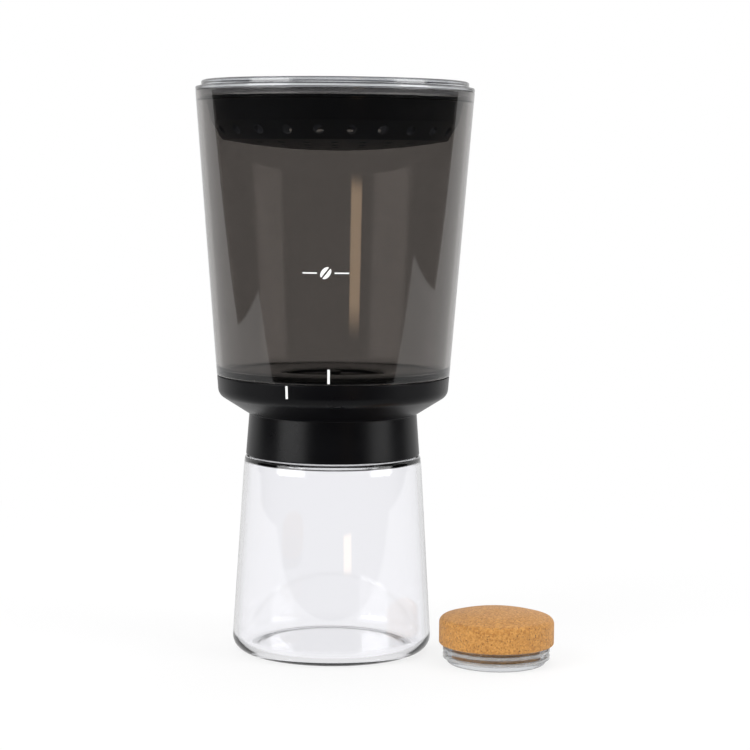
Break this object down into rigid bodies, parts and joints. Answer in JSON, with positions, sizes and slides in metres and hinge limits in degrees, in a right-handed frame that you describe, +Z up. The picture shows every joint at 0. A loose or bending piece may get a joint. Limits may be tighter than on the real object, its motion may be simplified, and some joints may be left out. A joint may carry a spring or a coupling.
{
  "type": "cold brew coffee maker",
  "caption": "Cold brew coffee maker: tapered tinted brew chamber with rain dish and lid, twist valve collar, glass carafe and cork stopper.",
  "frame": {"origin": "centre of the carafe's flat base", "axes": "+Z up along the carafe's axis; -Y is the front with the alignment marks; +X is the side where the stopper stands"},
  "size_m": [0.1704, 0.1318, 0.2713],
  "materials": {
    "clear_glass": "clear, fire polished",
    "black_plastic": "fine satin",
    "grey_silicone": "matte",
    "smoke_plastic": "clear, smoke tinted",
    "spring_steel": "drawn",
    "white_acetal": "smooth",
    "steel_mesh": "woven",
    "dish_plastic": "satin",
    "clear_plastic": "clear, polished",
    "cork": "sanded agglomerate",
    "clear_silicone": "translucent"
  },
  "bodies": {
    "carafe": {"carafe_glass": "clear_glass"},
    "collar": {"collar_shell": "black_plastic", "collar_core": "black_plastic", "carafe_gasket": "grey_silicone"},
    "swivel": {"swivel_seal": "grey_silicone"},
    "chamber": {"brew_chamber": "smoke_plastic", "valve_guide": "black_plastic", "valve_spring": "spring_steel"},
    "plunger": {"valve_stem": "white_acetal", "valve_seal": "grey_silicone", "cam_follower": "white_acetal", "stem_clip": "spring_steel"},
    "filter": {"filter_frame": "black_plastic", "filter_mesh": "steel_mesh", "filter_gasket": "grey_silicone"},
    "dish": {"rain_dish": "dish_plastic"},
    "lid": {"lid": "clear_plastic"},
    "stopper": {"cork_cap": "cork", "stopper_plug": "clear_plastic", "stopper_rings": "clear_silicone"}
  },
  "joints": [
    {"name": "collar_lift", "type": "slide", "parent": "carafe", "child": "collar", "axis": [0, 0, 1], "range_m": [0, 0.06]},
    {"name": "chamber_lift", "type": "slide", "parent": "collar", "child": "swivel", "axis": [0, 0, 1], "range_m": [0, 0.06]},
    {"name": "chamber_twist", "type": "hinge", "parent": "swivel", "child": "chamber", "pos_m": [0, 0, 0.125], "axis": [0, 0, 1], "range_deg": [-22, 0]},
    {"name": "valve_lift", "type": "slide", "parent": "chamber", "child": "plunger", "axis": [0, 0, 1], "range_m": [0, 0.0025], "deforming": ["valve_spring"]},
    {"name": "filter_lift", "type": "slide", "parent": "chamber", "child": "filter", "axis": [0, 0, 1], "range_m": [0, 0.095]},
    {"name": "dish_lift", "type": "slide", "parent": "chamber", "child": "dish", "axis": [0, 0, 1], "range_m": [0, 0.06]},
    {"name": "lid_lift", "type": "slide", "parent": "dish", "child": "lid", "axis": [0, 0, 1], "range_m": [0, 0.06]},
    {"name": "stopper_lift", "type": "slide", "parent": "carafe", "child": "stopper", "axis": [0, 0, 1], "range_m": [0, 0.08]}
  ],
  "couplings": [
    {"joint": "valve_lift", "follows": "chamber_twist", "m_per_rad": -0.00651}
  ]
}
